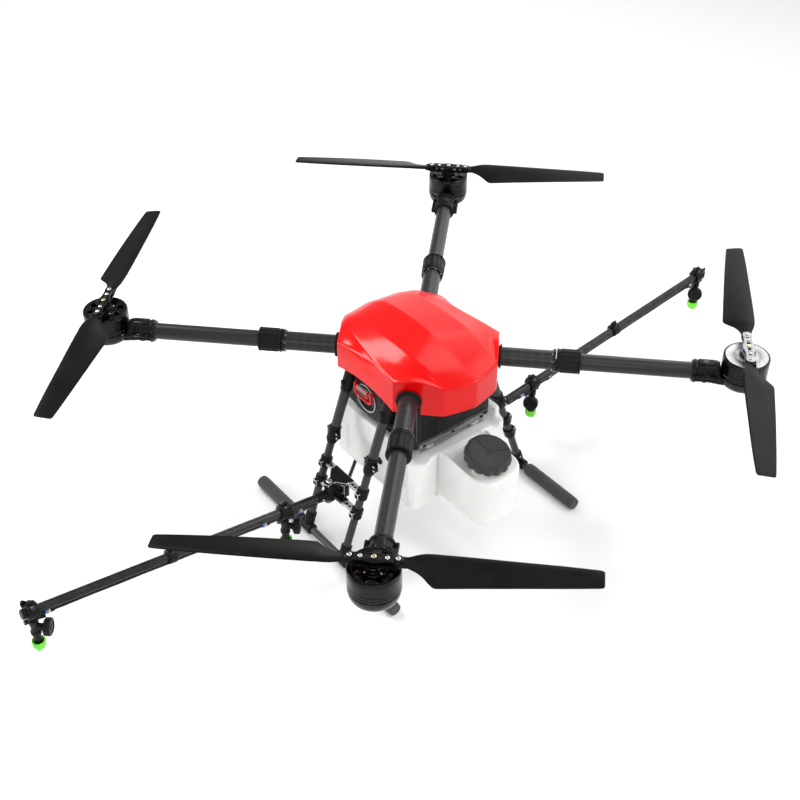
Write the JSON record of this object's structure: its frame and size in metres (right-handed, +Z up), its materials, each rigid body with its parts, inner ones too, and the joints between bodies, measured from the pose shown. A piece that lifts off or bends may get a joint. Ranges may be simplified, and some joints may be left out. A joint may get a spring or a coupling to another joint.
{
  "type": "agricultural spray drone",
  "caption": "Four-arm agricultural spray drone with folding arms and propellers, a slide-out water tank and battery, hinged spray booms and skid landing gear.",
  "frame": {"origin": "on the ground, under the centre of the airframe, with the skid foam resting on z = 0", "axes": "+Z up, spray booms along X, skids along Y, the filler cap of the tank on the -Y side"},
  "size_m": [1.8686, 1.5026, 0.4965],
  "materials": {
    "cover_red": "gloss, slight clear coat",
    "carbon": "twill weave under clear resin",
    "black_plastic": "moulded, fine grain",
    "black_metal": "black anodised",
    "aluminium": "satin",
    "blade_black": "nylon carbon, satin",
    "tank_white": "blow-moulded polyethylene",
    "foam_grey": "closed-cell foam sleeve",
    "rubber_black": "soft",
    "nozzle_green": "moulded",
    "hose_black": "polyurethane hose",
    "strap_red": "webbing",
    "battery_shell": "moulded",
    "cap_grey": "moulded",
    "steel": "zinc plated",
    "pump_black": "moulded"
  },
  "bodies": {
    "airframe": {"top_cover": "cover_red", "upper_plate": "carbon", "lower_plate": "carbon", "inner_arm_tubes": "black_plastic", "hinge_sockets": "black_metal", "hinge_pins": "steel", "arm_clamps": "black_metal", "arm_grommets": "rubber_black", "battery_bay": "black_plastic", "tank_rails": "aluminium", "leg_sleeves": "black_plastic", "leg_tubes": "carbon", "leg_couplers": "black_plastic", "skid_tubes": "carbon", "skid_foams": "foam_grey", "skid_tees": "black_plastic", "boom_brackets": "aluminium", "pump": "pump_black", "flight_controller": "black_plastic", "screws": "steel"},
    "arm_fl": {"outer_arm_fl": "carbon", "motor_mount_fl": "black_metal"},
    "nut_fl": {"lock_nut_fl": "black_plastic"},
    "rotor_fl": {"motor_bell_fl": "black_metal", "prop_hub_fl": "black_metal"},
    "prop_a_fl": {"blade_a_fl": "blade_black"},
    "prop_b_fl": {"blade_b_fl": "blade_black"},
    "arm_fr": {"outer_arm_fr": "carbon", "motor_mount_fr": "black_metal"},
    "nut_fr": {"lock_nut_fr": "black_plastic"},
    "rotor_fr": {"motor_bell_fr": "black_metal", "prop_hub_fr": "black_metal"},
    "prop_a_fr": {"blade_a_fr": "blade_black"},
    "prop_b_fr": {"blade_b_fr": "blade_black"},
    "arm_rr": {"outer_arm_rr": "carbon", "motor_mount_rr": "black_metal"},
    "nut_rr": {"lock_nut_rr": "black_plastic"},
    "rotor_rr": {"motor_bell_rr": "black_metal", "prop_hub_rr": "black_metal"},
    "prop_a_rr": {"blade_a_rr": "blade_black"},
    "prop_b_rr": {"blade_b_rr": "blade_black"},
    "arm_rl": {"outer_arm_rl": "carbon", "motor_mount_rl": "black_metal"},
    "nut_rl": {"lock_nut_rl": "black_plastic"},
    "rotor_rl": {"motor_bell_rl": "black_metal", "prop_hub_rl": "black_metal"},
    "prop_a_rl": {"blade_a_rl": "blade_black"},
    "prop_b_rl": {"blade_b_rl": "blade_black"},
    "boom_left": {"boom_left": "black_metal", "nozzles_left": "black_plastic", "nozzle_caps_left": "nozzle_green", "hose_left": "hose_black"},
    "boom_right": {"boom_right": "black_metal", "nozzles_right": "black_plastic", "nozzle_caps_right": "nozzle_green", "hose_right": "hose_black"},
    "tank": {"water_tank": "tank_white"},
    "cap": {"filler_cap": "cap_grey"},
    "battery_pack": {"battery": "battery_shell", "battery_handle": "strap_red"}
  },
  "joints": [
    {"name": "arm_fold_fl", "type": "hinge", "parent": "airframe", "child": "arm_fl", "pos_m": [-0.20647, -0.20647, 0.412], "axis": [0.7071, -0.7071, 0], "range_deg": [0, 65]},
    {"name": "nut_slide_fl", "type": "slide", "parent": "arm_fl", "child": "nut_fl", "axis": [-0.7071, -0.7071, 0], "range_m": [0, 0.0456]},
    {"name": "rotor_spin_fl", "type": "hinge", "parent": "arm_fl", "child": "rotor_fl", "pos_m": [-0.4727, -0.4727, 0.45], "axis": [0, 0, 1], "continuous": true},
    {"name": "blade_fold_a_fl", "type": "hinge", "parent": "rotor_fl", "child": "prop_a_fl", "pos_m": [-0.44371, -0.50169, 0.486], "axis": [0, 0, 1], "range_deg": [0, 85]},
    {"name": "blade_fold_b_fl", "type": "hinge", "parent": "rotor_fl", "child": "prop_b_fl", "pos_m": [-0.50169, -0.44371, 0.486], "axis": [0, 0, -1], "range_deg": [0, 85]},
    {"name": "arm_fold_fr", "type": "hinge", "parent": "airframe", "child": "arm_fr", "pos_m": [0.20647, -0.20647, 0.412], "axis": [0.7071, 0.7071, 0], "range_deg": [0, 65]},
    {"name": "nut_slide_fr", "type": "slide", "parent": "arm_fr", "child": "nut_fr", "axis": [0.7071, -0.7071, 0], "range_m": [0, 0.0456]},
    {"name": "rotor_spin_fr", "type": "hinge", "parent": "arm_fr", "child": "rotor_fr", "pos_m": [0.4727, -0.4727, 0.45], "axis": [0, 0, 1], "continuous": true},
    {"name": "blade_fold_a_fr", "type": "hinge", "parent": "rotor_fr", "child": "prop_a_fr", "pos_m": [0.50169, -0.44371, 0.486], "axis": [0, 0, 1], "range_deg": [0, 85]},
    {"name": "blade_fold_b_fr", "type": "hinge", "parent": "rotor_fr", "child": "prop_b_fr", "pos_m": [0.44371, -0.50169, 0.486], "axis": [0, 0, -1], "range_deg": [0, 85]},
    {"name": "arm_fold_rr", "type": "hinge", "parent": "airframe", "child": "arm_rr", "pos_m": [0.20647, 0.20647, 0.412], "axis": [-0.7071, 0.7071, 0], "range_deg": [0, 65]},
    {"name": "nut_slide_rr", "type": "slide", "parent": "arm_rr", "child": "nut_rr", "axis": [0.7071, 0.7071, 0], "range_m": [0, 0.0456]},
    {"name": "rotor_spin_rr", "type": "hinge", "parent": "arm_rr", "child": "rotor_rr", "pos_m": [0.4727, 0.4727, 0.45], "axis": [0, 0, 1], "continuous": true},
    {"name": "blade_fold_a_rr", "type": "hinge", "parent": "rotor_rr", "child": "prop_a_rr", "pos_m": [0.44371, 0.50169, 0.486], "axis": [0, 0, 1], "range_deg": [0, 85]},
    {"name": "blade_fold_b_rr", "type": "hinge", "parent": "rotor_rr", "child": "prop_b_rr", "pos_m": [0.50169, 0.44371, 0.486], "axis": [0, 0, -1], "range_deg": [0, 85]},
    {"name": "arm_fold_rl", "type": "hinge", "parent": "airframe", "child": "arm_rl", "pos_m": [-0.20647, 0.20647, 0.412], "axis": [-0.7071, -0.7071, 0], "range_deg": [0, 65]},
    {"name": "nut_slide_rl", "type": "slide", "parent": "arm_rl", "child": "nut_rl", "axis": [-0.7071, 0.7071, 0], "range_m": [0, 0.0456]},
    {"name": "rotor_spin_rl", "type": "hinge", "parent": "arm_rl", "child": "rotor_rl", "pos_m": [-0.4727, 0.4727, 0.45], "axis": [0, 0, 1], "continuous": true},
    {"name": "blade_fold_a_rl", "type": "hinge", "parent": "rotor_rl", "child": "prop_a_rl", "pos_m": [-0.50169, 0.44371, 0.486], "axis": [0, 0, 1], "range_deg": [0, 85]},
    {"name": "blade_fold_b_rl", "type": "hinge", "parent": "rotor_rl", "child": "prop_b_rl", "pos_m": [-0.44371, 0.50169, 0.486], "axis": [0, 0, -1], "range_deg": [0, 85]},
    {"name": "boom_fold_left", "type": "hinge", "parent": "airframe", "child": "boom_left", "pos_m": [-0.236, 0.005, 0.1455], "axis": [0, 0, -1], "range_deg": [0, 90]},
    {"name": "boom_fold_right", "type": "hinge", "parent": "airframe", "child": "boom_right", "pos_m": [0.236, 0.005, 0.1455], "axis": [0, 0, 1], "range_deg": [0, 90]},
    {"name": "tank_slide", "type": "slide", "parent": "airframe", "child": "tank", "axis": [0, -1, 0], "range_m": [0, 0.26]},
    {"name": "cap_turn", "type": "hinge", "parent": "tank", "child": "cap", "pos_m": [0, -0.233, 0.303], "axis": [0, -0.2079, 0.9781], "range_deg": [0, 90]},
    {"name": "battery_slide", "type": "slide", "parent": "airframe", "child": "battery_pack", "axis": [-1, 0, 0], "range_m": [0, 0.2]}
  ],
  "couplings": [
    {"joint": "nut_slide_fl", "follows": "arm_fold_fl", "m_per_rad": 0.04},
    {"joint": "nut_slide_fr", "follows": "arm_fold_fr", "m_per_rad": 0.04},
    {"joint": "nut_slide_rr", "follows": "arm_fold_rr", "m_per_rad": 0.04},
    {"joint": "nut_slide_rl", "follows": "arm_fold_rl", "m_per_rad": 0.04}
  ]
}
